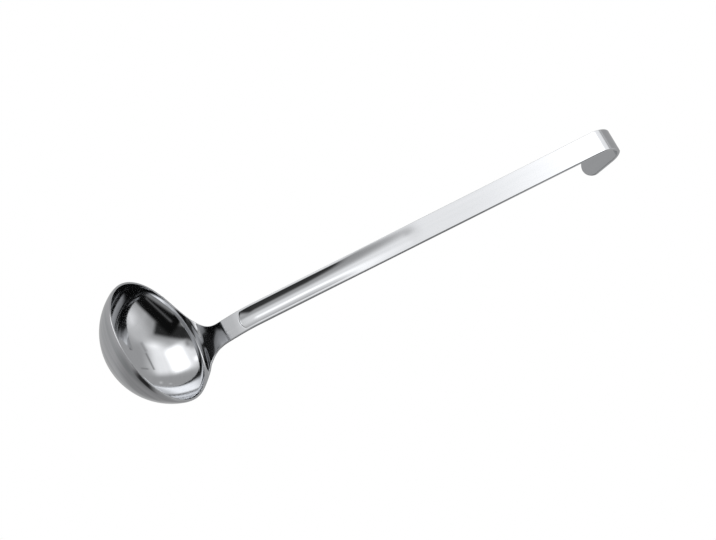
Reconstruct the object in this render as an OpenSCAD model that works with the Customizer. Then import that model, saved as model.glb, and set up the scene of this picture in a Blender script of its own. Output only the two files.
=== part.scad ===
// Soup ladle pressed from one sheet of stainless steel, in millimetres.
// It lies on a table as it is put down: on the side of its bowl and on the tip of its hook.
// The origin is on the table, under the middle of the ladle. +X runs from the bowl to the hook, +Z is up.
// The nodes are the zones of the one pressing. They meet face to face.

/* [Bowl] */
// Diameter across the rim
rim_d = 95; // [80:1:110]
// Depth of the bowl, from the rim to the underside
bowl_depth = 37; // [28:1:38]
// Outside radius of the bend between the bowl's round floor and its rim
shoulder_r = 12; // [6:1:16]
// Thickness of the drawn wall
wall = 1.5; // [0.8:0.1:2]

/* [Neck] */
// Height of the neck above the rim
neck_h = 22; // [18:1:30]
// How far the neck's face stands out at the top, past the inside of the rim
neck_out = 0.7; // [0:0.1:5]
// Angle of the rim that the flared foot of the neck takes up
neck_span = 124; // [80:2:140]

/* [Strip] */
// Width of the strip
strip_w = 17; // [14:0.5:20]
// Thickness of the strip
strip_t = 2.5; // [2:0.1:3.5]
// Length of the upright foot, from the neck to the bend
foot_l = 14.3; // [11:0.1:30]
// Outside radius of the bend above the foot
bend_r = 40; // [15:1:45]
// Angle at which the handle leans away from the bowl's axis
lean = 17.1; // [10:0.1:25]
// Length of the handle, from the bend to the hook
handle_l = 284.3; // [200:0.1:340]

/* [Finger groove] */
// Distance from the end of the bend to the round end of the groove
groove_start = 0.5; // [0.5:0.5:30]
// Length of the groove
groove_l = 146; // [80:1:180]
// Width of the groove
groove_w = 14; // [9:0.5:15]
// Depth of the groove
groove_depth = 1.2; // [0.6:0.1:1.6]
// Length over which the groove fades out at its upper end
groove_fade = 50; // [15:1:60]
// How far the pressing stands out at the back of the strip
back_rise = 0.8; // [0.3:0.1:1.2]

/* [Hook] */
// Inside radius of the hook
hook_r = 12; // [8:0.5:16]
// Angle through which the strip is rolled back
hook_turn = 145; // [125:1:160]
// Straight length of the hook's leg, up to its round end
hook_leg = 14; // [8:1:24]

/* [Hidden] */
$fn = 96;

// The bowl's radii and heights, and the face that the neck and the foot share
rim_r = rim_d / 2;
inner_r = rim_r - wall;
shoulder_x = rim_r - shoulder_r;
floor_r = (pow(shoulder_x, 2) + pow(bowl_depth, 2) - pow(shoulder_r, 2)) / (2 * (bowl_depth - shoulder_r));
floor_z = floor_r - bowl_depth;
floor_turn = atan2(shoulder_x, floor_z);
flare = inner_r * sin(neck_span / 2) - strip_w / 2;
face_x = inner_r + neck_out;
hook_outer = hook_r + strip_t;
bend_tangent = bend_r * tan(lean / 2);

// Steps along the curves of the bowl and the neck
floor_steps = 24;
shoulder_steps = 8;
neck_rows = 12;
neck_cols = 20;
flare_power = 2.2;

// Corner of the front face at the bend, where the handle meets the hook, and the hook's centre and tip, as [x, z]
corner = [face_x, neck_h + foot_l];
hook_start = corner + handle_l * up_dir(lean);
hook_centre = hook_start + hook_outer * out_dir(lean);
hook_end = hook_centre - hook_outer * out_dir(lean + hook_turn);
hook_tip = hook_end + (hook_leg + strip_w / 2) * up_dir(lean + hook_turn);

// Directions along the strip and out of its back, where it leans by angle a
function up_dir(a) = [sin(a), cos(a)];
function out_dir(a) = [cos(a), -sin(a)];

// How far the bowl and the hook reach in direction d from the centre of the rim
function bowl_reach(d) =
    atan2(abs(d[0]), -d[1]) > floor_turn ? shoulder_x * abs(d[0]) + shoulder_r : floor_z * d[1] + floor_r;
function hook_reach(d) = max(hook_centre * d + hook_outer, hook_tip * d);

// The angle at which the bowl and the hook touch the table together
function rest_angle(low, high, steps) =
    let (mid = (low + high) / 2)
    steps == 0 ? mid
    : hook_tip * out_dir(mid) > bowl_reach(out_dir(mid)) ? rest_angle(mid, high, steps - 1)
    : rest_angle(low, mid, steps - 1);
rest = rest_angle(0, 60, 30);
table_gap = bowl_reach(out_dir(rest));
front_x = hook_reach(up_dir(rest));
back_x = bowl_reach(-up_dir(rest));

// Half of the bowl's section: the wall's face at an inset from the outside
function bowl_face(inset) = concat(
    [for (i = [0 : floor_steps])
        let (a = floor_turn * i / floor_steps)
        [(floor_r - inset) * sin(a), floor_z - (floor_r - inset) * cos(a)]],
    [for (i = [1 : shoulder_steps])
        let (a = floor_turn + (90 - floor_turn) * i / shoulder_steps)
        [shoulder_x + (shoulder_r - inset) * sin(a), -(shoulder_r - inset) * cos(a)]]);
function reversed(list) = [for (i = [len(list) - 1 : -1 : 0]) list[i]];

// The neck's sections: k runs from 0 at the rim to 1 at the strip, and side from -1 to 1 across the face
function neck_angle(row) = 90 * (1 - row / neck_rows);
function neck_half(row) =
    strip_w / 2 + flare * (1 - pow(1 - pow(sin(neck_angle(row)), flare_power), 1 / flare_power));
function neck_point(row, side, r, depth_low, depth_high) =
    let (k = 1 - sin(neck_angle(row)))
    let (y = side * neck_half(row))
    let (sag = (r - sqrt(r * r - y * y)) * pow(1 - k, 2))
    [inner_r + neck_out * k + depth_low + (depth_high - depth_low) * k - sag, y, neck_h * k];

// Lays the upright ladle on the table
module lay() {
    translate([-(front_x - back_x) / 2, 0, table_gap])
        rotate([0, 90 - rest, 0])
            children();
}

// Moves to the start of the bend above the foot, and to the start of the straight handle.
// There, x runs into the strip from its face, and z runs along it.
module at_bend() {
    translate([face_x, 0, corner[1] - bend_tangent])
        children();
}
module at_handle() {
    at_bend()
        translate([bend_r, 0, 0])
            rotate([0, lean, 0])
                translate([-bend_r, 0, 0])
                    children();
}

// A bent stretch of the strip, round a centre at x = r: it starts upright and its outer face has radius r
module strip_bend(r, turn) {
    translate([r, 0, 0])
        rotate([90, 0, 180])
            rotate_extrude(angle = turn)
                translate([r - strip_t, -strip_w / 2])
                    square([strip_t, strip_w]);
}

// The pressing's form: a shallow round channel, deep below the face, with a round end and a fading one
module channel(deep) {
    r = (groove_w * groove_w / 4 + deep * deep) / (2 * deep);
    run_r = (groove_fade * groove_fade + deep * deep) / (2 * deep);
    round_z = groove_start + groove_w / 2;
    fade_z = groove_start + groove_l - groove_fade;
    translate([deep - r, 0, round_z]) sphere(r);
    translate([deep - r, 0, round_z]) cylinder(h = fade_z - round_z, r = r);
    translate([deep - run_r, 0, fade_z])
        rotate([90, 0, 0])
            rotate_extrude(angle = 1.3 * asin(groove_fade / run_r))
                translate([run_r - r, 0])
                    circle(r);
}

module bowl() {
    color("silver")
    lay()
    rotate_extrude()
        polygon(concat(bowl_face(0), reversed(bowl_face(wall))));
}

module neck() {
    side_count = neck_cols + 1;
    front = [for (i = [0 : neck_rows]) for (j = [0 : neck_cols])
        neck_point(i, 2 * j / neck_cols - 1, inner_r, 0, 0)];
    back = [for (i = [0 : neck_rows]) for (j = [0 : neck_cols])
        neck_point(i, 2 * j / neck_cols - 1, rim_r, wall, strip_t)];
    first_back = len(front);
    last_row = neck_rows * side_count;
    quads = concat(
        [for (i = [0 : neck_rows - 1]) for (j = [0 : neck_cols - 1])
            let (p = i * side_count + j) [p, p + 1, p + side_count + 1, p + side_count]],
        [for (i = [0 : neck_rows - 1]) for (j = [0 : neck_cols - 1])
            let (p = first_back + i * side_count + j) [p, p + side_count, p + side_count + 1, p + 1]],
        [for (j = [0 : neck_cols - 1]) [j, first_back + j, first_back + j + 1, j + 1]],
        [for (j = [0 : neck_cols - 1])
            let (p = last_row + j) [p, p + 1, first_back + p + 1, first_back + p]],
        [for (i = [0 : neck_rows - 1])
            let (p = i * side_count) [p, p + side_count, first_back + p + side_count, first_back + p]],
        [for (i = [0 : neck_rows - 1])
            let (p = i * side_count + neck_cols)
            [p, first_back + p, first_back + p + side_count, p + side_count]]);
    triangles = [for (q = quads) for (t = [[q[0], q[1], q[2]], [q[0], q[2], q[3]]]) t];
    color("gray")
    lay()
    polyhedron(concat(front, back), triangles);
}

module foot() {
    straight_l = foot_l - bend_tangent;
    color("gainsboro")
    lay()
    at_bend() {
        translate([0, -strip_w / 2, -straight_l]) cube([strip_t, strip_w, straight_l]);
        strip_bend(bend_r, lean);
    }
}

module handle() {
    straight_l = handle_l - bend_tangent;
    color("lightgray")
    lay()
    at_handle()
        difference() {
            union() {
                translate([0, -strip_w / 2, 0]) cube([strip_t, strip_w, straight_l]);
                intersection() {
                    translate([strip_t, 0, 0]) channel(back_rise);
                    translate([strip_t / 2, -strip_w / 2, 0]) cube([strip_t, strip_w, straight_l]);
                }
            }
            channel(groove_depth);
        }
}

module hook() {
    color("darkgray")
    lay()
    at_handle()
        translate([hook_outer, 0, handle_l - bend_tangent])
            rotate([0, hook_turn, 0])
                translate([-hook_outer, 0, 0]) {
                    mirror([0, 0, 1]) strip_bend(hook_outer, hook_turn);
                    rotate([0, -90, 0])
                        mirror([0, 0, 1])
                            linear_extrude(strip_t) {
                                translate([0, -strip_w / 2]) square([hook_leg, strip_w]);
                                translate([hook_leg, 0]) circle(strip_w / 2);
                            }
                }
}

bowl();
neck();
foot();
handle();
hook();
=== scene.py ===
import bpy
import bmesh
from math import asin, atan2, cos, degrees, exp, pi, radians, sin, sqrt, tan
from mathutils import Matrix, Vector


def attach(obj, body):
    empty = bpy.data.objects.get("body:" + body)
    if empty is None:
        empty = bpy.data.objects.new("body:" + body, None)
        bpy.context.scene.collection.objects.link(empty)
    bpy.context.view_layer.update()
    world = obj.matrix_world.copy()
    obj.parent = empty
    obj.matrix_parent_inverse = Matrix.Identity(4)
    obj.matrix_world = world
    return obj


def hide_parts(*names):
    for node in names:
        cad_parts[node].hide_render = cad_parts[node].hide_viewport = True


print("loading the packed ladle")
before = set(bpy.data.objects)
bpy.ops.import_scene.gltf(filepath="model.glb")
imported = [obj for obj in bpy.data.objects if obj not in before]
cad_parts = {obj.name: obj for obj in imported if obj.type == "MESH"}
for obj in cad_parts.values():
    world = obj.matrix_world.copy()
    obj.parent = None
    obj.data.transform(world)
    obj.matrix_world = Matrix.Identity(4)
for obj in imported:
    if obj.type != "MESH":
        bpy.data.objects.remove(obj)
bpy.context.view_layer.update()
mm = 0.001


def addNode(tree, kind, links=None, out=0, **settings):
    node = tree.nodes.new(kind)
    for name, value in settings.items():
        setattr(node, name, value)
    for key, value in (links or {}).items():
        if isinstance(value, bpy.types.NodeSocket):
            tree.links.new(value, node.inputs[key])
        else:
            node.inputs[key].default_value = value
    return node.outputs[out] if node.outputs else node


def hexColour(text):
    # sRGB hex to Blender's linear colour
    parts = [int(text[i:i + 2], 16) / 255 for i in (0, 2, 4)]
    return [p / 12.92 if p <= 0.04045 else ((p + 0.055) / 1.055) ** 2.4 for p in parts] + [1]


# The ladle is shaped upright, in millimetres, x towards the handle and z out of the bowl.
# It is laid on the table at the end.
bowlValues = dict(
    rimAcross=95, depth=37, wall=1.5, shoulderRadius=12, rimRounding=0.45,
    floorSteps=56, shoulderSteps=20, roundSteps=6, segments=288, outsideBands=1.0, insideBands=0.15)

stripValues = dict(
    width=17, thickness=2.5, edgeRounding=0.4,
    neckHeight=22, neckOut=0.7, neckStep=0.5, neckStepHeight=1.2, neckSpan=124, flarePower=2.2,
    wrapPower=1.3, neckTwist=3.5, twistFrom=(3, 6), twistTo=(12, 20),
    neckRoot=((-0.9, 0.1), (-0.45, 0.0), (-0.2, 0.0)),
    footLength=14.3, footCrease=23.5, creaseRadius=20, footLean=5.5, bendRadius=90,
    lean=17.1, length=284.3, hookRadius=12, hookTurn=145, legLength=14, tipSpare=0.01, bands=0.15,
    # how many rows and steps there are, and how far apart the rows lie in between
    neckRows=56, hookRows=58, legRows=6, tipRows=32, acrossSteps=56, cornerSteps=5,
    footSpare=0.3, footApart=0.5, endSpare=2, endApart=0.16, startLength=20, startApart=0.5,
    grooveApart=1.5, handleSpare=6, handleApart=4)

rimRadius = bowlValues["rimAcross"] / 2
wall = bowlValues["wall"]
depth = bowlValues["depth"]
innerRadius = rimRadius - wall
shoulderRadius = bowlValues["shoulderRadius"]
shoulderX = rimRadius - shoulderRadius
floorRadius = (shoulderX ** 2 + depth ** 2 - shoulderRadius ** 2) / (2 * (depth - shoulderRadius))
floorZ = floorRadius - depth
floorTurn = atan2(shoulderX, floorZ)

lean = stripValues["lean"]
footLean = stripValues["footLean"]
hookOuter = stripValues["hookRadius"] + stripValues["thickness"]
halfStrip = stripValues["width"] / 2

# The strip's face turns at a crease above the neck, at the bend of the foot and round the hook.
cornerRun = stripValues["neckHeight"] + stripValues["footLength"]
spare = (cornerRun - stripValues["footCrease"]) / sin(radians(lean - footLean))
creaseTangent = stripValues["creaseRadius"] * tan(radians(footLean / 2))
bendTangent = stripValues["bendRadius"] * tan(radians((lean - footLean) / 2))
creaseStart = stripValues["footCrease"] - creaseTangent
creaseEnd = creaseStart + stripValues["creaseRadius"] * radians(footLean)
bendStart = creaseEnd + spare * sin(radians(lean)) - creaseTangent - bendTangent
bendEnd = bendStart + stripValues["bendRadius"] * radians(lean - footLean)
hookStart = bendEnd + stripValues["length"] - spare * sin(radians(footLean)) - bendTangent
legStart = hookStart + hookOuter * radians(stripValues["hookTurn"])
stripEnd = legStart + stripValues["legLength"] + halfStrip
bends = (
    (creaseStart, stripValues["creaseRadius"], footLean),
    (bendStart, stripValues["bendRadius"], lean - footLean),
    (hookStart, hookOuter, stripValues["hookTurn"]))


def upDirection(angle):
    return Vector((sin(radians(angle)), 0, cos(radians(angle))))


def outDirection(angle):
    return Vector((cos(radians(angle)), 0, -sin(radians(angle))))


def stripPlace(run):
    # the front face's middle line: its point and its lean, at a distance from the rim
    point = Vector((innerRadius + stripValues["neckOut"], 0, 0))
    angle, done = 0.0, 0.0
    for start, radius, turn in bends:
        if run > start:
            point += (start - done) * upDirection(angle)
            centre = point + radius * outDirection(angle)
            done = min(run, start + radius * radians(turn))
            angle += degrees((done - start) / radius)
            point = centre - radius * outDirection(angle)
    return point + (run - done) * upDirection(angle), angle


def bowlReach(direction):
    if atan2(abs(direction.x), -direction.z) > floorTurn:
        return shoulderX * abs(direction.x) + shoulderRadius
    return floorZ * direction.z + floorRadius


# It lies on the side of its bowl and on the tip of its hook, at an angle in degrees found by halving.
restSearch = dict(low=0.0, high=60.0, halvings=40)
hookCentre = stripPlace(hookStart)[0] + hookOuter * outDirection(lean)
hookTip = stripPlace(stripEnd)[0]
low, high = restSearch["low"], restSearch["high"]
for halving in range(restSearch["halvings"]):
    rest = (low + high) / 2
    if hookTip.dot(outDirection(rest)) > bowlReach(outDirection(rest)):
        low = rest
    else:
        high = rest
frontX = max(hookCentre.dot(upDirection(rest)) + hookOuter, hookTip.dot(upDirection(rest)))
backX = bowlReach(-upDirection(rest))
laid = (Matrix.Translation((-(frontX - backX) / 2 * mm, 0, bowlReach(outDirection(rest)) * mm))
        @ Matrix.Rotation(radians(90 - rest), 4, "Y") @ Matrix.Scale(mm, 4))
print("the ladle lies at", round(rest, 2), "degrees")


def lineObject(name, points, **attributes):
    # a line of points that carries the numbers a node tree reads
    mesh = bpy.data.meshes.new(name)
    mesh.from_pydata([tuple(p) for p in points], [(i, i + 1) for i in range(len(points) - 1)], [])
    for key, values in attributes.items():
        isVector = hasattr(values[0], "__len__")
        layer = mesh.attributes.new(key, "FLOAT_VECTOR" if isVector else "FLOAT", "POINT")
        for item, value in zip(layer.data, values):
            setattr(item, "vector" if isVector else "value", value)
    line = bpy.data.objects.new(name, mesh)
    bpy.context.scene.collection.objects.link(line)
    return line


def newTree(name, sizes):
    # sizes holds a number for each value socket, or a kind of socket by its name
    tree = bpy.data.node_groups.new(name, "GeometryNodeTree")
    tree.interface.new_socket("Geometry", in_out="INPUT", socket_type="NodeSocketGeometry")
    tree.interface.new_socket("Geometry", in_out="OUTPUT", socket_type="NodeSocketGeometry")
    for key, value in sizes.items():
        kind = {int: "NodeSocketInt", float: "NodeSocketFloat"}.get(type(value), f"NodeSocket{value}")
        socket = tree.interface.new_socket(key, in_out="INPUT", socket_type=kind)
        if type(value) in (int, float):
            socket.default_value = value
    entry = tree.nodes.new("NodeGroupInput")
    return tree, {socket.name: socket for socket in entry.outputs}


# points closer than this, in millimetres, are one
weldDistance = 0.002


def finishTree(tree, geometry, material):
    merged = addNode(tree, "GeometryNodeMergeByDistance", {"Geometry": geometry, "Distance": weldDistance})
    smooth = addNode(tree, "GeometryNodeSetShadeSmooth", {0: merged})
    real = addNode(tree, "GeometryNodeRealizeInstances", {0: smooth})
    coated = addNode(tree, "GeometryNodeSetMaterial", {"Geometry": real, "Material": material})
    addNode(tree, "NodeGroupOutput", {0: coated})


def bakeNodes(line, tree, name, inputs):
    # runs the tree on a line and keeps the result as a plain closed mesh, laid on the table
    modifier = line.modifiers.new("shape", "NODES")
    modifier.node_group = tree
    for socket in tree.interface.items_tree:
        if socket.in_out == "INPUT" and socket.name in inputs:
            modifier[socket.identifier] = inputs[socket.name]
    bpy.context.view_layer.update()
    graph = bpy.context.evaluated_depsgraph_get()
    mesh = bpy.data.meshes.new_from_object(line.evaluated_get(graph), depsgraph=graph)
    line.modifiers.clear()
    bpy.data.objects.remove(line)
    shape = bmesh.new()
    shape.from_mesh(mesh)
    bmesh.ops.holes_fill(shape, edges=[edge for edge in shape.edges if edge.is_boundary])
    bmesh.ops.transform(shape, matrix=laid, verts=shape.verts)
    bmesh.ops.recalc_face_normals(shape, faces=shape.faces)
    for face in shape.faces:
        face.smooth = True
    shape.to_mesh(mesh)
    shape.free()
    mesh.name = name
    piece = bpy.data.objects.new(name, mesh)
    bpy.context.scene.collection.objects.link(piece)
    print(name, "has", len(mesh.polygons), "faces")
    return piece


# Stainless steel sheet, drawn and then buffed bright: nearly a mirror, greyer and softer than chrome.
# The buffing wheel leaves fine lines, round the bowl and along the strip. Real ones are under 0.1 mm
# apart, too fine for a render, so they are drawn about 1 mm apart and very faint. Its passes show as
# broader bands, a few millimetres wide.
steelValues = dict(
    lightSteel="d2d2d5", darkSteel="babdbf", roughness=(0.045, 0.10),
    lineSpacing=1.1, lineLength=40.0, lineDepth=0.0006,
    bandWidth=3.5, bandLength=70.0, bandDepth=0.004,
    noiseDetail=1.5, noiseRange=(0.3, 0.7), plainTone=0.5)


def buffedSteel(name, placeName):
    # placeName holds millimetres across the buffing lines in x, and along them in y and z.
    # The attribute bandStrength says how strongly the broad bands show.
    material = bpy.data.materials.new(name)
    material.use_nodes = True
    tree = material.node_tree
    tree.nodes.clear()
    place = addNode(tree, "ShaderNodeAttribute", out=1, attribute_name=placeName)
    noises = []
    for width, length in (("lineSpacing", "lineLength"), ("bandWidth", "bandLength")):
        across, along = 1 / steelValues[width], 1 / steelValues[length]
        stretched = addNode(tree, "ShaderNodeVectorMath", {0: place, 1: (across, along, along)},
                            operation="MULTIPLY")
        noises.append(addNode(tree, "ShaderNodeTexNoise", {
            "Vector": stretched, "Scale": 1.0, "Detail": steelValues["noiseDetail"]}))
    lines, bands = noises
    lowest, highest = steelValues["noiseRange"]
    smooth, coarse = steelValues["roughness"]
    rough = addNode(tree, "ShaderNodeMapRange", {0: lines, 1: lowest, 2: highest, 3: smooth, 4: coarse})
    passes = addNode(tree, "ShaderNodeMapRange", {0: bands, 1: lowest, 2: highest})
    strength = addNode(tree, "ShaderNodeAttribute", out=2, attribute_name="bandStrength")
    toneShare = addNode(tree, "ShaderNodeMix", {0: strength, 2: steelValues["plainTone"], 3: passes})
    tone = addNode(tree, "ShaderNodeMix", {
        0: toneShare, 6: hexColour(steelValues["darkSteel"]), 7: hexColour(steelValues["lightSteel"])},
        out=2, data_type="RGBA")
    bandBump = addNode(tree, "ShaderNodeBump",
                       {"Strength": 1.0, "Distance": steelValues["bandDepth"] * mm, "Height": bands})
    lineBump = addNode(tree, "ShaderNodeBump", {
        "Strength": 1.0, "Distance": steelValues["lineDepth"] * mm, "Height": lines, "Normal": bandBump})
    shader = addNode(tree, "ShaderNodeBsdfPrincipled",
                     {"Base Color": tone, "Metallic": 1.0, "Roughness": rough, "Normal": lineBump})
    addNode(tree, "ShaderNodeOutputMaterial", {0: shader})
    return material


print("turning the bowl")


def wallLine(inset):
    # half of the bowl's section at an inset from the outside, from its middle up to the rim's rounding
    points = []
    steps = bowlValues["floorSteps"]
    for i in range(steps + 1):
        angle = floorTurn * i / steps
        radius = floorRadius - inset
        points.append(Vector((radius * sin(angle), 0, floorZ - radius * cos(angle))))
    radius = shoulderRadius - inset
    lastTurn = pi / 2 - asin(bowlValues["rimRounding"] / radius)
    steps = bowlValues["shoulderSteps"]
    for i in range(1, steps + 1):
        angle = floorTurn + (lastTurn - floorTurn) * i / steps
        points.append(Vector((shoulderX + radius * sin(angle), 0, -radius * cos(angle))))
    return points


outerLine, innerLine = wallLine(0), wallLine(wall)
rounding = bowlValues["rimRounding"]
rimLine = []
for middle, first in ((outerLine[-1].x - rounding, 0), (innerLine[-1].x + rounding, 90)):
    for i in range(1, bowlValues["roundSteps"]):
        angle = radians(first + 90 * i / bowlValues["roundSteps"])
        rimLine.append(Vector((middle + rounding * cos(angle), 0, rounding * (sin(angle) - 1))))
section = outerLine + rimLine + innerLine[::-1]
lengths = [0.0]
for before, after in zip(section, section[1:]):
    lengths.append(lengths[-1] + (after - before).length)

# The tree turns the section round the bowl's axis. The length along the section tells outside from inside.
bowlSizes = {
    "Segments": bowlValues["segments"], "Rim Length": lengths[len(outerLine)],
    "Outside Bands": bowlValues["outsideBands"], "Inside Bands": bowlValues["insideBands"]}
tree, entry = newTree("turnedBowl", {"Material": "Material", **bowlSizes})
position = addNode(tree, "GeometryNodeInputPosition")
count = addNode(tree, "GeometryNodeAttributeDomainSize", {0: entry["Geometry"]})
columns = addNode(tree, "ShaderNodeMath", {0: entry["Segments"], 1: 1}, operation="ADD")
grid = addNode(tree, "GeometryNodeMeshGrid",
               {"Size X": 1, "Size Y": 1, "Vertices X": count, "Vertices Y": columns})
cell = addNode(tree, "ShaderNodeSeparateXYZ", {0: position})
last = addNode(tree, "ShaderNodeMath", {0: count, 1: 1}, operation="SUBTRACT")
fromStart = addNode(tree, "ShaderNodeMath", {0: cell, 1: 0.5}, operation="ADD")
row = addNode(tree, "ShaderNodeMath", {0: fromStart, 1: last}, operation="MULTIPLY")
index = addNode(tree, "ShaderNodeMath", {0: row}, operation="ROUND")
fromSeam = addNode(tree, "ShaderNodeMath", {0: cell.node.outputs[1], 1: 0.5}, operation="ADD")
angle = addNode(tree, "ShaderNodeMath", {0: fromSeam, 1: 2 * pi}, operation="MULTIPLY")
point = addNode(tree, "GeometryNodeSampleIndex",
                {"Geometry": entry["Geometry"], "Value": position, "Index": index},
                data_type="FLOAT_VECTOR")
lineLength = addNode(tree, "GeometryNodeInputNamedAttribute", {"Name": "sectionLength"}, data_type="FLOAT")
gridLength = addNode(tree, "GeometryNodeSampleIndex",
                     {"Geometry": entry["Geometry"], "Value": lineLength, "Index": index},
                     data_type="FLOAT")
measured = addNode(tree, "GeometryNodeStoreNamedAttribute",
                   {"Geometry": grid, "Name": "bowlLength", "Value": gridLength},
                   data_type="FLOAT", domain="POINT")
turned = addNode(tree, "ShaderNodeVectorRotate", {"Vector": point, "Angle": angle}, rotation_type="Z_AXIS")
shell = addNode(tree, "GeometryNodeSetPosition", {"Geometry": measured, "Position": turned})
keptLength = addNode(tree, "GeometryNodeInputNamedAttribute", {"Name": "bowlLength"}, data_type="FLOAT")
upright = addNode(tree, "ShaderNodeSeparateXYZ", {0: position})
buffing = addNode(tree, "ShaderNodeCombineXYZ", {0: keptLength, 1: upright, 2: upright.node.outputs[1]})
marked = addNode(tree, "GeometryNodeStoreNamedAttribute",
                 {"Geometry": shell, "Name": "bowlBuffing", "Value": buffing},
                 data_type="FLOAT_VECTOR", domain="POINT")
inside = addNode(tree, "ShaderNodeMath", {0: keptLength, 1: entry["Rim Length"]}, operation="GREATER_THAN")
strength = addNode(tree, "ShaderNodeMix", {0: inside, 2: entry["Outside Bands"], 3: entry["Inside Bands"]})
banded = addNode(tree, "GeometryNodeStoreNamedAttribute",
                 {"Geometry": marked, "Name": "bandStrength", "Value": strength},
                 data_type="FLOAT", domain="POINT")
finishTree(tree, banded, entry["Material"])

bowl = bakeNodes(lineObject("section", section, sectionLength=lengths), tree, "ladleBowl", {
    "Material": buffedSteel("buffedBowlSteel", "bowlBuffing"), **bowlSizes})


print("pressing the strip")
# The groove starts with a bowed step. Over the length fade it gets shallower, down to the share fadeTo of
# its depth, and over the last runOut it ends. Counted from its end, it is crisp beyond softTo and a soft
# wave within softFrom. The wave is softSpread times as wide as the strip.
grooveValues = dict(
    start=1.0, length=149, width=14, depth=1.2, backRise=0.8, endSag=3, endLength=0.8,
    fade=95, fadeTo=0.42, runOut=16, softFrom=45, softTo=78, softSpread=1.22)

grooveStart = cornerRun + grooveValues["start"]
grooveEnd = grooveStart + grooveValues["length"]
flare = innerRadius * sin(radians(stripValues["neckSpan"] / 2)) - halfStrip
rows = []


def addRow(point, angle, run, half, thick, wrap, twist=0.0):
    rows.append(dict(point=point, inward=tuple(outDirection(angle)), run=run,
                     halfWidth=half, thickness=thick, wrap=wrap, twist=twist))


def smoothly(value, first, last):
    part = min(1, max(0, (value - first) / (last - first)))
    return part * part * (3 - 2 * part)


# The neck's lowest rows stand inside the bowl's wall, so that the two pieces share their metal there.
for height, sunk in stripValues["neckRoot"]:
    reach = shoulderX + sqrt((shoulderRadius - wall) ** 2 - height ** 2)
    addRow(Vector((reach + sunk, 0, height)), 0, height, halfStrip + flare, wall - 2 * sunk, 1)

# The rows' distances from the rim, closer together where the face turns fast.
neckRows, hookRows = stripValues["neckRows"], stripValues["hookRows"]
legRows, tipRows = stripValues["legRows"], stripValues["tipRows"]
runs = [stripValues["neckHeight"] * (1 - sin(pi / 2 * (1 - i / neckRows))) for i in range(neckRows + 1)]
for upTo, apart in (
        (grooveStart - stripValues["footSpare"], stripValues["footApart"]),
        (grooveStart + grooveValues["endSag"] + stripValues["endSpare"], stripValues["endApart"]),
        (grooveStart + stripValues["startLength"], stripValues["startApart"]),
        (grooveEnd, stripValues["grooveApart"]),
        (hookStart - stripValues["handleSpare"], stripValues["handleApart"])):
    while runs[-1] < upTo:
        runs.append(runs[-1] + apart)
runs += [hookStart + (legStart - hookStart) * i / hookRows for i in range(hookRows + 1)]
runs += [legStart + stripValues["legLength"] * i / legRows for i in range(1, legRows + 1)]
runs += [stripEnd - halfStrip * (1 - sin(pi / 2 * i / tipRows)) for i in range(1, tipRows + 1)]

for run in runs:
    point, angle = stripPlace(run)
    rise = max(0, 1 - run / stripValues["neckHeight"])
    spread = 1 - (1 - rise ** stripValues["flarePower"]) ** (1 / stripValues["flarePower"])
    half = halfStrip + flare * spread
    beyond = run - (stripEnd - halfStrip)
    if beyond > 0:
        narrowest = stripValues["edgeRounding"] + stripValues["tipSpare"]
        half = max(sqrt(max(0, halfStrip ** 2 - beyond ** 2)), narrowest)
    step = stripValues["neckStep"]
    shy = (stripValues["neckOut"] - step) * rise + step * exp(-run / stripValues["neckStepHeight"])
    thick = wall + (stripValues["thickness"] - wall) * (1 - rise)
    twist = smoothly(run, *stripValues["twistFrom"]) * (1 - smoothly(run, *stripValues["twistTo"]))
    twist *= tan(radians(stripValues["neckTwist"]))
    wrap = rise ** stripValues["wrapPower"]
    addRow(point - shy * outDirection(angle), angle, run, half, thick, wrap, twist)

# The closed ring round the strip: span runs over the flat, corner holds the rounding at the edges,
# and depth is 0 in front and 1 behind.
ringPoints = []
acrossSteps, cornerSteps = stripValues["acrossSteps"], stripValues["cornerSteps"]
rounding = stripValues["edgeRounding"]
for side, deep, firsts in ((1, 0, (-90, 0)), (-1, 1, (90, 180))):
    for i in range(acrossSteps + 1):
        if i or side == 1:
            ringPoints.append((side * (2 * i / acrossSteps - 1), (0, 0, 0), deep))
    for first in firsts:
        isFront = first in (-90, 180)
        for i in range(cornerSteps + 1):
            if i or first in (0, 180):
                angle = radians(first + 90 * i / cornerSteps)
                middle = rounding if isFront else -rounding
                ringPoints.append((side, (rounding * cos(angle), rounding * sin(angle) + middle, 0),
                                   0 if isFront else 1))
ring = lineObject("ring", [(i, 0, 0) for i in range(len(ringPoints))], span=[p[0] for p in ringPoints],
                  corner=[p[1] for p in ringPoints], depth=[p[2] for p in ringPoints])

stripSizes = {
    "Edge Rounding": rounding, "Rim Radius": rimRadius, "Wall": wall,
    "Groove Start": grooveStart, "Groove End": grooveEnd, "Groove Width": grooveValues["width"],
    "Groove Depth": grooveValues["depth"], "Back Rise": grooveValues["backRise"],
    "End Sag": grooveValues["endSag"], "End Length": grooveValues["endLength"],
    "Fade Length": grooveValues["fade"], "Faded Depth": grooveValues["fadeTo"],
    "Run Out": grooveValues["runOut"], "Soft Until": grooveValues["softFrom"],
    "Crisp From": grooveValues["softTo"], "Soft Turn": pi / grooveValues["softSpread"],
    "Bands": stripValues["bands"]}
stripSizes = {key: float(value) for key, value in stripSizes.items()}

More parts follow.
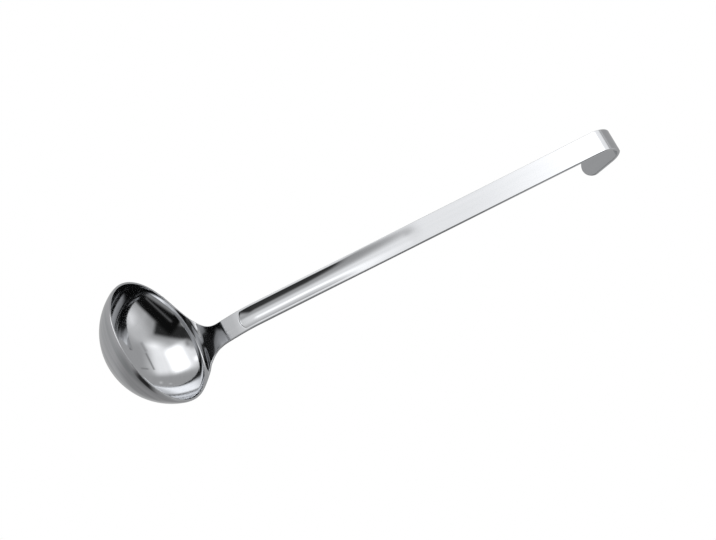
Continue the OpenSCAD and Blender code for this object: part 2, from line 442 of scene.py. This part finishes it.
# The tree sweeps the ring along the rows. Each point of the grid looks up its row and its ring point.
tree, entry = newTree("pressedStrip", {"Ring": "Object", "Material": "Material", **stripSizes})
position = addNode(tree, "GeometryNodeInputPosition")
ringShape = addNode(tree, "GeometryNodeObjectInfo", {"Object": entry["Ring"]}, out=4)
known = dict(entry)
counts = [addNode(tree, "GeometryNodeAttributeDomainSize", {0: entry["Geometry"]}),
          addNode(tree, "GeometryNodeAttributeDomainSize", {0: ringShape})]
grid = addNode(tree, "GeometryNodeMeshGrid",
               {"Size X": 1, "Size Y": 1, "Vertices X": counts[0], "Vertices Y": counts[1]})
cell = addNode(tree, "ShaderNodeSeparateXYZ", {0: position})
indexes = []
for axis, count in enumerate(counts):
    last = addNode(tree, "ShaderNodeMath", {0: count, 1: 1}, operation="SUBTRACT")
    fromStart = addNode(tree, "ShaderNodeMath", {0: cell.node.outputs[axis], 1: 0.5}, operation="ADD")
    place = addNode(tree, "ShaderNodeMath", {0: fromStart, 1: last}, operation="MULTIPLY")
    indexes.append(addNode(tree, "ShaderNodeMath", {0: place}, operation="ROUND"))
middle = addNode(tree, "GeometryNodeSampleIndex",
                 {"Geometry": entry["Geometry"], "Value": position, "Index": indexes[0]},
                 data_type="FLOAT_VECTOR")
rowKeys = ("inward", "run", "halfWidth", "thickness", "wrap", "twist")
ringKeys = ("span", "depth", "corner")
for keys, shape, index in ((rowKeys, entry["Geometry"], indexes[0]), (ringKeys, ringShape, indexes[1])):
    for key in keys:
        kind = "FLOAT_VECTOR" if key in ("inward", "corner") else "FLOAT"
        stored = addNode(tree, "GeometryNodeInputNamedAttribute", {"Name": key}, data_type=kind)
        known[key] = addNode(tree, "GeometryNodeSampleIndex",
                             {"Geometry": shape, "Value": stored, "Index": index}, data_type=kind)
corner = addNode(tree, "ShaderNodeSeparateXYZ", {0: known["corner"]})
known["cornerAcross"], known["cornerLevel"] = corner, corner.node.outputs[1]

# Each line is a sum: its name, what it does, and what with.
sums = (
    ("flat", "SUBTRACT", "halfWidth", "Edge Rounding"),
    ("across", "MULTIPLY_ADD", "span", "flat", "cornerAcross"),
    # the neck wraps round the rim
    ("innerRim", "SUBTRACT", "Rim Radius", "Wall"),
    ("radius", "MULTIPLY_ADD", "depth", "Wall", "innerRim"),
    ("radiusSquared", "MULTIPLY", "radius", "radius"),
    ("acrossSquared", "MULTIPLY", "across", "across"),
    ("chordSquared", "SUBTRACT", "radiusSquared", "acrossSquared"),
    ("chord", "SQRT", "chordSquared"),
    ("fullSag", "SUBTRACT", "radius", "chord"),
    ("wrapped", "MULTIPLY", "fullSag", "wrap"),
    # its face is pressed a little unevenly
    ("uneven", "MULTIPLY", "across", "twist"),
    ("sag", "SUBTRACT", "wrapped", "uneven"),
    # the groove: deepest along its middle, with a bowed start
    ("halfGroove", "MULTIPLY", "Groove Width", 0.5),
    ("side", "DIVIDE", "across", "halfGroove"),
    ("sideSquared", "MULTIPLY", "side", "side"),
    ("bow", "SUBTRACT", 1.0, "sideSquared"),
    ("crisp", "MAXIMUM", "bow", 0.0),
    # towards its end it spreads over the whole width as a soft wave
    ("waveTurn", "DIVIDE", "across", "halfWidth"),
    ("waveAngle", "MULTIPLY", "waveTurn", "Soft Turn"),
    ("wave", "COSINE", "waveAngle"),
    ("soft", "MULTIPLY_ADD", "wave", 0.5, 0.5),
    ("bowedStart", "MULTIPLY_ADD", "sideSquared", "End Sag", "Groove Start"),
    ("fromStart", "SUBTRACT", "run", "bowedStart"),
    ("toEnd", "SUBTRACT", "Groove End", "run"))
for name, operation, *terms in sums:
    links = {i: known.get(term, term) for i, term in enumerate(terms)}
    known[name] = addNode(tree, "ShaderNodeMath", links, operation=operation)
for name, distance, first, last in (
        ("opened", "fromStart", 0.0, "End Length"),
        ("closed", "toEnd", 0.0, "Run Out"),
        ("crispness", "toEnd", "Soft Until", "Crisp From")):
    known[name] = addNode(tree, "ShaderNodeMapRange",
                          {0: known[distance], 1: known.get(first, first), 2: known[last]},
                          interpolation_type="SMOOTHSTEP")
known["faded"] = addNode(tree, "ShaderNodeMapRange",
                         {0: known["toEnd"], 1: 0.0, 2: known["Fade Length"], 3: known["Faded Depth"]})
known["shape"] = addNode(tree, "ShaderNodeMix",
                         {0: known["crispness"], 2: known["soft"], 3: known["crisp"]})
known["reach"] = addNode(tree, "ShaderNodeMix",
                         {0: known["depth"], 2: known["Groove Depth"], 3: known["Back Rise"]})
for name, operation, *terms in (
        ("openPart", "MULTIPLY", "opened", "closed"),
        ("ends", "MULTIPLY", "openPart", "faded"),
        ("form", "MULTIPLY", "shape", "ends"),
        ("pressed", "MULTIPLY", "form", "reach"),
        ("flatLevel", "MULTIPLY_ADD", "depth", "thickness", "cornerLevel"),
        ("pressedLevel", "ADD", "flatLevel", "pressed"),
        ("level", "SUBTRACT", "pressedLevel", "sag")):
    links = {i: known.get(term, term) for i, term in enumerate(terms)}
    known[name] = addNode(tree, "ShaderNodeMath", links, operation=operation)
sideways = addNode(tree, "ShaderNodeCombineXYZ", {1: known["across"]})
deeper = addNode(tree, "ShaderNodeVectorMath", {0: known["inward"], "Scale": known["level"]},
                 operation="SCALE")
moved = addNode(tree, "ShaderNodeVectorMath", {0: middle, 1: sideways}, operation="ADD")
final = addNode(tree, "ShaderNodeVectorMath", {0: moved, 1: deeper}, operation="ADD")
buffing = addNode(tree, "ShaderNodeCombineXYZ", {0: known["across"], 1: known["run"], 2: known["level"]})
marked = addNode(tree, "GeometryNodeStoreNamedAttribute",
                 {"Geometry": grid, "Name": "stripBuffing", "Value": buffing},
                 data_type="FLOAT_VECTOR", domain="POINT")
banded = addNode(tree, "GeometryNodeStoreNamedAttribute",
                 {"Geometry": marked, "Name": "bandStrength", "Value": entry["Bands"]},
                 data_type="FLOAT", domain="POINT")
shell = addNode(tree, "GeometryNodeSetPosition", {"Geometry": banded, "Position": final})
finishTree(tree, shell, entry["Material"])

path = lineObject("path", [row["point"] for row in rows],
                  **{key: [row[key] for row in rows] for key in rowKeys})
strip = bakeNodes(path, tree, "ladleStrip", {
    "Ring": ring, "Material": buffedSteel("buffedStripSteel", "stripBuffing"), **stripSizes})
bpy.data.objects.remove(ring)

for piece, slot, nodes in ((bowl, "bowl_steel", ["bowl"]),
                           (strip, "handle_steel", ["neck", "foot", "handle", "hook"])):
    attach(piece, "root")
    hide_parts(*nodes)


print("setting the table")
tableValues = dict(size=6.0, colour="ffffff", drop=0.0002)
half = tableValues["size"] / 2
tableMesh = bpy.data.meshes.new("table")
tableCorners = [(-half, -half, 0), (half, -half, 0), (half, half, 0), (-half, half, 0)]
tableMesh.from_pydata(tableCorners, [], [(0, 1, 2, 3)])
table = bpy.data.objects.new("table", tableMesh)
bpy.context.scene.collection.objects.link(table)
table.location.z = -tableValues["drop"]
tablePaper = bpy.data.materials.new("whitePaper")
tablePaper.use_nodes = True
tablePaper.node_tree.nodes.clear()
tableLight = addNode(tablePaper.node_tree, "ShaderNodeEmission",
                     {"Color": hexColour(tableValues["colour"])})
addNode(tablePaper.node_tree, "ShaderNodeOutputMaterial", {0: tableLight})
tableMesh.materials.append(tablePaper)
# The steel mirrors the studio's own lower half, which is greyer than the paper that the camera sees.
table.visible_glossy = False
table.visible_diffuse = False


print("lighting the studio")
# Each panel is a light or a card round the ladle, guessed from what the steel mirrors in the photograph.
# Its place is in degrees from straight overhead, towards +X and +Y. Then come its half length and half
# width, its turn and the width of its soft edge, also in degrees, and its brightness. It covers the
# panels listed before it.
studioValues = dict(plain=0.5, behindLadle=1.0)
studioPanels = (
    # wide soft lights, low towards +X and -Y
    (75, -62, 13, 27, 6, 45, 1.28),
    (67, -31, 15, 13, 0, 26, 0.78),
    (49, -64, 1.3, 41, -57, 30, 0.73),
    # the large light overhead and its two brighter parts
    (12, 24, 49, 24, -7, 32, 1.12),
    (22, 26, 33, 23, 0, 18, 1.35),
    (17, 26, 12.5, 22, 8, 15, 2.6),
    # a small light, which the groove mirrors as a streak, and a soft one towards +X
    (-11.5, 37, 4, 4, 0, 8.5, 2),
    (48, -7, 13.7, 5.7, -25, 29, 1.86),
    # thin grey lines
    (61, 21, 18, 1.2, -78, 4, 0.25),
    (66, -8, 10, 2.5, -75, 6, 0.45),
    (72, 37, 6, 1.2, 0, 4, 0.25),
    # two small spots, low towards +Y
    (35, 74, 1.2, 1.1, 0, 6.5, 1.06),
    (49, 70, 1.1, 3.1, 0, 6.3, 0.95),
    # a grey card towards -X
    (-26, 10, 19, 8, 0, 12, 0.57),
    # dark cards, with two grey lines in them
    (5.3, -21.1, 36, 12, -30, 9, 0.035),
    (16.2, -67.8, 45.7, 21.2, -65, 9, 0.0067),
    (16, -68.5, 32.1, 0.8, -68, 5.8, 0.231),
    (3.9, -79.6, 32.9, 6.9, -61, 5.7, 0.334),
    # small grey and dark cards, which the groove mirrors
    (-6, 5, 4, 6, 0, 9, 0.4),
    (-14, -5, 4, 7, -7, 10, 0.06),
    # large dim and dark cards beyond the bowl
    (-110, -60, 50, 60, 0, 50, 0.33),
    (-74, -63, 24, 20, -7, 24, 0.03),
    # a dim strip below, which the handle's lower edge mirrors
    (10, -155, 75, 12, 0, 12, 0.2),
)

# The group lays one panel over the light below it.
panelTree = bpy.data.node_groups.new("softPanel", "ShaderNodeTree")
panelInputs = ("Below", "East", "North", "Half Length", "Half Width", "Turn", "Softness", "Brightness")
for name in panelInputs:
    panelTree.interface.new_socket(name, in_out="INPUT", socket_type="NodeSocketFloat")
panelTree.interface.new_socket("Light", in_out="OUTPUT", socket_type="NodeSocketFloat")
panelTree.interface.new_socket("Place", in_out="INPUT", socket_type="NodeSocketVector")
entry = {socket.name: socket for socket in panelTree.nodes.new("NodeGroupInput").outputs}
panelMiddle = addNode(panelTree, "ShaderNodeCombineXYZ", {0: entry["East"], 1: entry["North"]})
backTurn = addNode(panelTree, "ShaderNodeMath", {0: entry["Turn"], 1: -1.0}, operation="MULTIPLY")
onPanel = addNode(panelTree, "ShaderNodeVectorRotate",
                  {"Vector": entry["Place"], "Center": panelMiddle, "Angle": backTurn},
                  rotation_type="Z_AXIS")
fromMiddle = addNode(panelTree, "ShaderNodeVectorMath", {0: onPanel, 1: panelMiddle}, operation="SUBTRACT")
offsets = addNode(panelTree, "ShaderNodeSeparateXYZ", {0: fromMiddle})
halfSoft = addNode(panelTree, "ShaderNodeMath", {0: entry["Softness"], 1: 0.5}, operation="MULTIPLY")
cover = []
for axis, size in enumerate(("Half Length", "Half Width")):
    distance = addNode(panelTree, "ShaderNodeMath", {0: offsets.node.outputs[axis]}, operation="ABSOLUTE")
    outer = addNode(panelTree, "ShaderNodeMath", {0: entry[size], 1: halfSoft}, operation="ADD")
    inner = addNode(panelTree, "ShaderNodeMath", {0: entry[size], 1: halfSoft}, operation="SUBTRACT")
    cover.append(addNode(panelTree, "ShaderNodeMapRange",
                         {0: distance, 1: inner, 2: outer, 3: 1.0, 4: 0.0},
                         interpolation_type="SMOOTHSTEP"))
covered = addNode(panelTree, "ShaderNodeMath", {0: cover[0], 1: cover[1]}, operation="MULTIPLY")
light = addNode(panelTree, "ShaderNodeMix", {0: covered, 2: entry["Below"], 3: entry["Brightness"]})
addNode(panelTree, "NodeGroupOutput", {0: light})

world = bpy.data.worlds.new("studio")
bpy.context.scene.world = world
world.use_nodes = True
tree = world.node_tree
tree.nodes.clear()
# each direction's place: its angle from straight overhead, along its heading
direction = addNode(tree, "ShaderNodeTexCoord", out=0)
parts = addNode(tree, "ShaderNodeSeparateXYZ", {0: direction}).node.outputs
fromZenith = addNode(tree, "ShaderNodeMath", {0: parts[2]}, operation="ARCCOSINE")
zenithAngle = addNode(tree, "ShaderNodeMath", {0: fromZenith, 1: degrees(1)}, operation="MULTIPLY")
level = addNode(tree, "ShaderNodeVectorMath", {0: direction, 1: (1, 1, 0)}, operation="MULTIPLY")
heading = addNode(tree, "ShaderNodeVectorMath", {0: level}, operation="NORMALIZE")
place = addNode(tree, "ShaderNodeVectorMath", {0: heading, "Scale": zenithAngle}, operation="SCALE")
light = studioValues["plain"]
for east, north, halfLength, halfWidth, turn, softness, brightness in studioPanels:
    light = addNode(tree, "ShaderNodeGroup", {
        "Below": light, "Place": place, "East": east, "North": north, "Half Length": halfLength,
        "Half Width": halfWidth, "Turn": radians(turn), "Softness": softness, "Brightness": brightness},
        node_tree=panelTree)
# the camera itself sees plain white behind the ladle, as in the photograph
rays = addNode(tree, "ShaderNodeLightPath")
seen = addNode(tree, "ShaderNodeMix", {0: rays, 2: light, 3: studioValues["behindLadle"]})
background = addNode(tree, "ShaderNodeBackground", {0: (1, 1, 1, 1), 1: seen})
addNode(tree, "ShaderNodeOutputWorld", {0: background})


print("placing the camera")
# The photograph's viewpoint, in millimetres from the middle of the rim, and the directions of its frame,
# both in the upright ladle's own axes. The focal length and the frame's width are in pixels.
cameraValues = dict(
    place=(-630.0, -310.7, 394.7), right=(0.47044, -0.39535, 0.78892),
    down=(0.16545, -0.83865, -0.51893), focal=1144.15, frameWidth=716, sensor=36)
cameraData = bpy.data.cameras.new("camera")
cameraData.sensor_width = cameraValues["sensor"]
cameraData.lens = cameraValues["focal"] / cameraValues["frameWidth"] * cameraValues["sensor"]
# half a pixel, because the fit counts from the middle of a pixel
cameraData.shift_x = -0.5 / cameraValues["frameWidth"]
cameraData.shift_y = 0.5 / cameraValues["frameWidth"]
camera = bpy.data.objects.new("camera", cameraData)
bpy.context.scene.collection.objects.link(camera)
turn = laid.to_3x3().normalized()
right = (turn @ Vector(cameraValues["right"])).normalized()
down = (turn @ Vector(cameraValues["down"])).normalized()
ahead = right.cross(down)
camera.matrix_world = (Matrix.Translation(laid @ Vector(cameraValues["place"]))
                       @ Matrix((right, -down, -ahead)).transposed().to_4x4())
bpy.context.scene.camera = camera
bpy.context.scene.view_settings.view_transform = "Standard"
